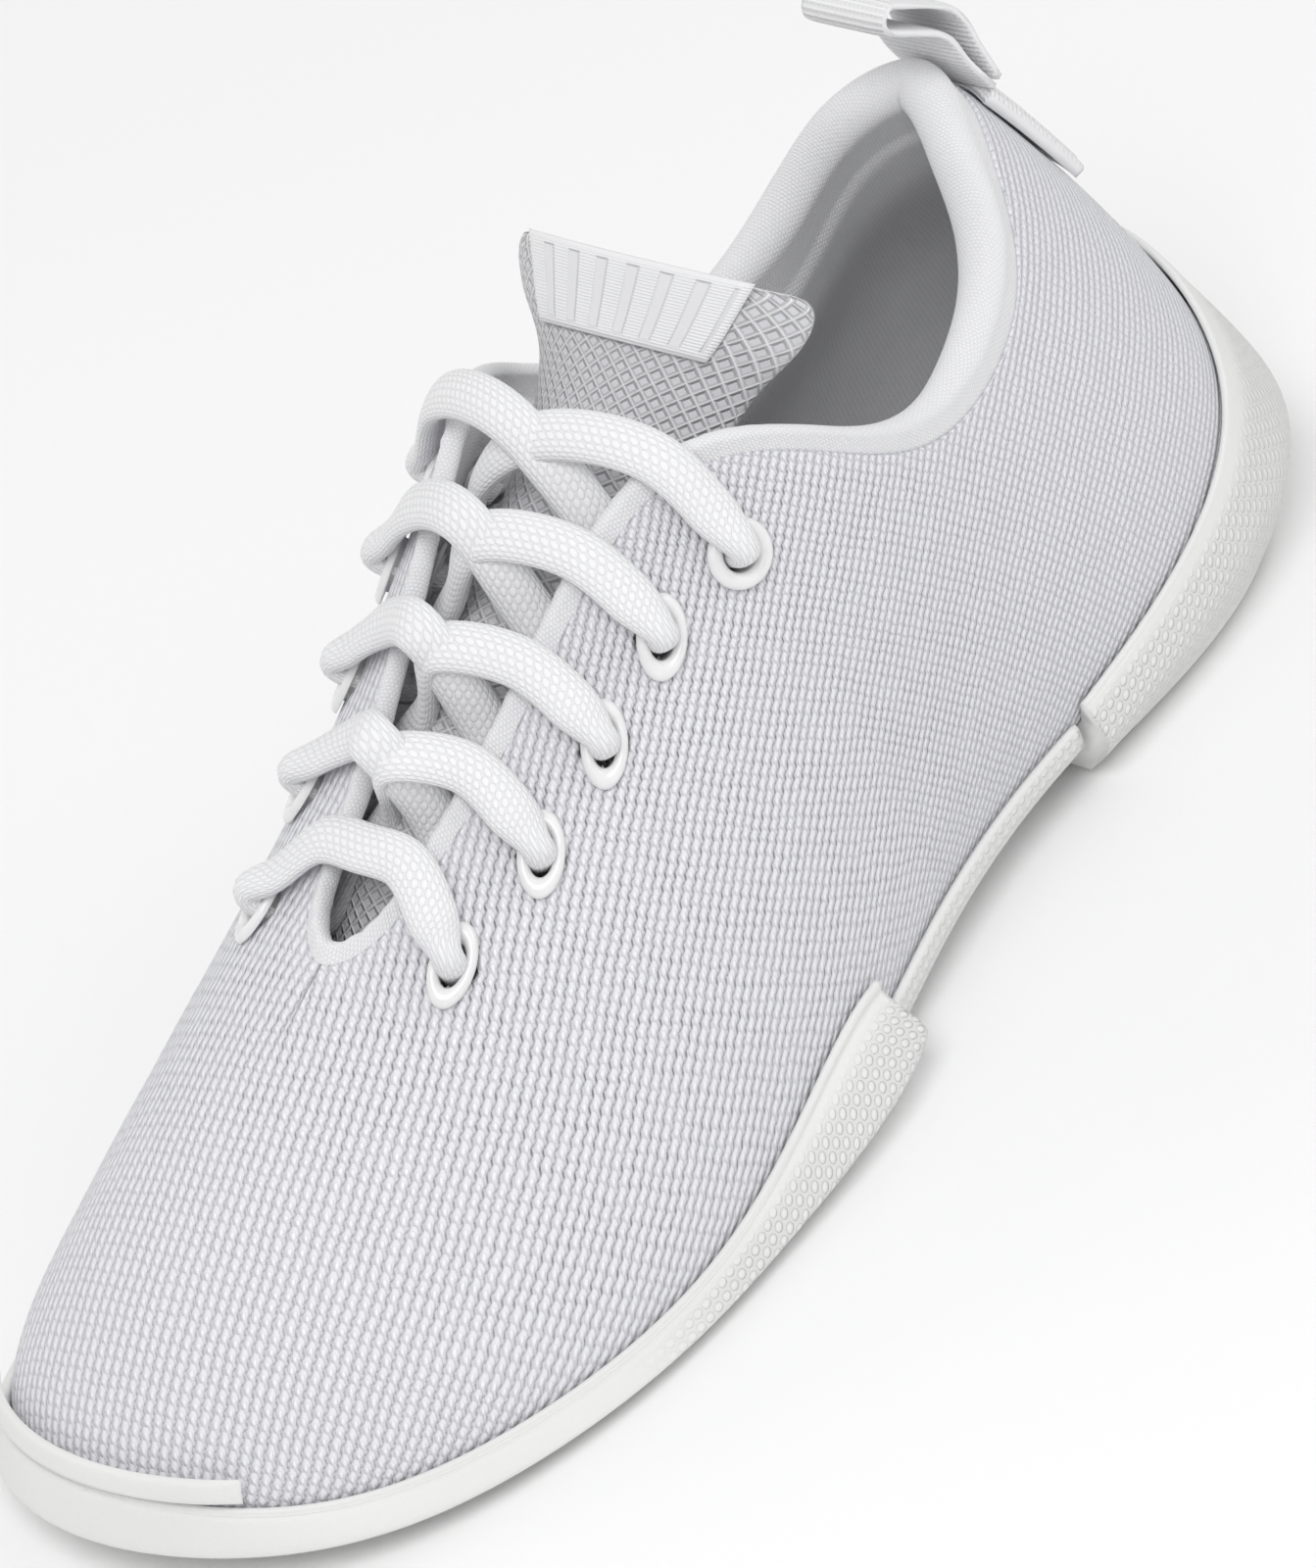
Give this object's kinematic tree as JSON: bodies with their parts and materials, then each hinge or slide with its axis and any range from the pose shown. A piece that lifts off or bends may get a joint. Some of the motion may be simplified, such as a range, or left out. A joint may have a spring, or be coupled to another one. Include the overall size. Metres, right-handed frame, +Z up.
{
  "type": "cheer shoe",
  "caption": "Left cheer shoe with a knit upper, padded collar, tongue, criss-cross lace through ringed eyelets, heel pull tab and a thin split sole.",
  "frame": {"origin": "centre of the sole's outline on the ground", "axes": "+X from heel to toe, +Y to the outer (lateral) side of the left foot, +Z up"},
  "size_m": [0.2625, 0.1003, 0.1114],
  "materials": {
    "knit": "rough",
    "stiffener": "matte",
    "stay_tape": "matte",
    "lining": "smooth",
    "foam": "rough",
    "board": "rough",
    "insole_foam": "matte",
    "sole": "satin",
    "outsole": "matte",
    "tongue_mesh": "rough",
    "patch": "satin",
    "lace": "matte",
    "tip": "gloss",
    "webbing": "satin",
    "enamel": "gloss"
  },
  "bodies": {
    "shoe": {"knit_upper": "knit", "heel_counter": "stiffener", "eyestay_lateral": "stay_tape", "eyestay_medial": "stay_tape", "quarter_lining": "lining", "vamp_lining": "lining", "collar_padding": "foam", "topline_binding": "lining", "strobel_board": "board", "insole": "insole_foam", "heel_sole": "sole", "forefoot_sole": "sole", "arch_strip": "sole", "heel_outsole_pad": "outsole", "forefoot_outsole_pad": "outsole", "tongue_body": "tongue_mesh", "tongue_lining": "lining", "shoelace": "lace", "aglet_lateral": "tip", "aglet_medial": "tip", "pull_tab_strip": "webbing", "eyelet_lateral_1": "enamel", "eyelet_lateral_2": "enamel", "eyelet_lateral_3": "enamel", "eyelet_lateral_4": "enamel", "eyelet_lateral_5": "enamel", "eyelet_medial_1": "enamel", "eyelet_medial_2": "enamel", "eyelet_medial_3": "enamel", "eyelet_medial_4": "enamel", "eyelet_medial_5": "enamel", "eyelet_washer_lateral_1": "enamel", "eyelet_washer_lateral_2": "enamel", "eyelet_washer_lateral_3": "enamel", "eyelet_washer_lateral_4": "enamel", "eyelet_washer_lateral_5": "enamel", "eyelet_washer_medial_1": "enamel", "eyelet_washer_medial_2": "enamel", "eyelet_washer_medial_3": "enamel", "eyelet_washer_medial_4": "enamel", "eyelet_washer_medial_5": "enamel"},
    "toe": {"toe_puff": "stiffener", "toe_bumper": "sole"},
    "tongue_top": {"tongue_patch": "patch"},
    "pull_tab": {"pull_tab_loop": "webbing"}
  },
  "joints": [
    {"name": "ball_flex", "type": "hinge", "parent": "shoe", "child": "toe", "pos_m": [0.06923, -0.00028, 0.003], "axis": [0, -1, 0], "range_deg": [0, 35], "stiffness_Nm_per_rad": 0.3, "deforming": ["knit_upper", "vamp_lining", "insole", "strobel_board", "forefoot_sole", "forefoot_outsole_pad"]},
    {"name": "tongue_flex", "type": "hinge", "parent": "shoe", "child": "tongue_top", "pos_m": [-0.02007, -0.00128, 0.09358], "axis": [0, 1, 0], "range_deg": [-10, 40], "stiffness_Nm_per_rad": 0.02, "deforming": ["tongue_body", "tongue_lining"]},
    {"name": "pull_tab_swing", "type": "hinge", "parent": "shoe", "child": "pull_tab", "pos_m": [-0.10418, -0.00127, 0.08672], "axis": [0, -1, 0], "range_deg": [0, 60], "stiffness_Nm_per_rad": 0.01}
  ]
}
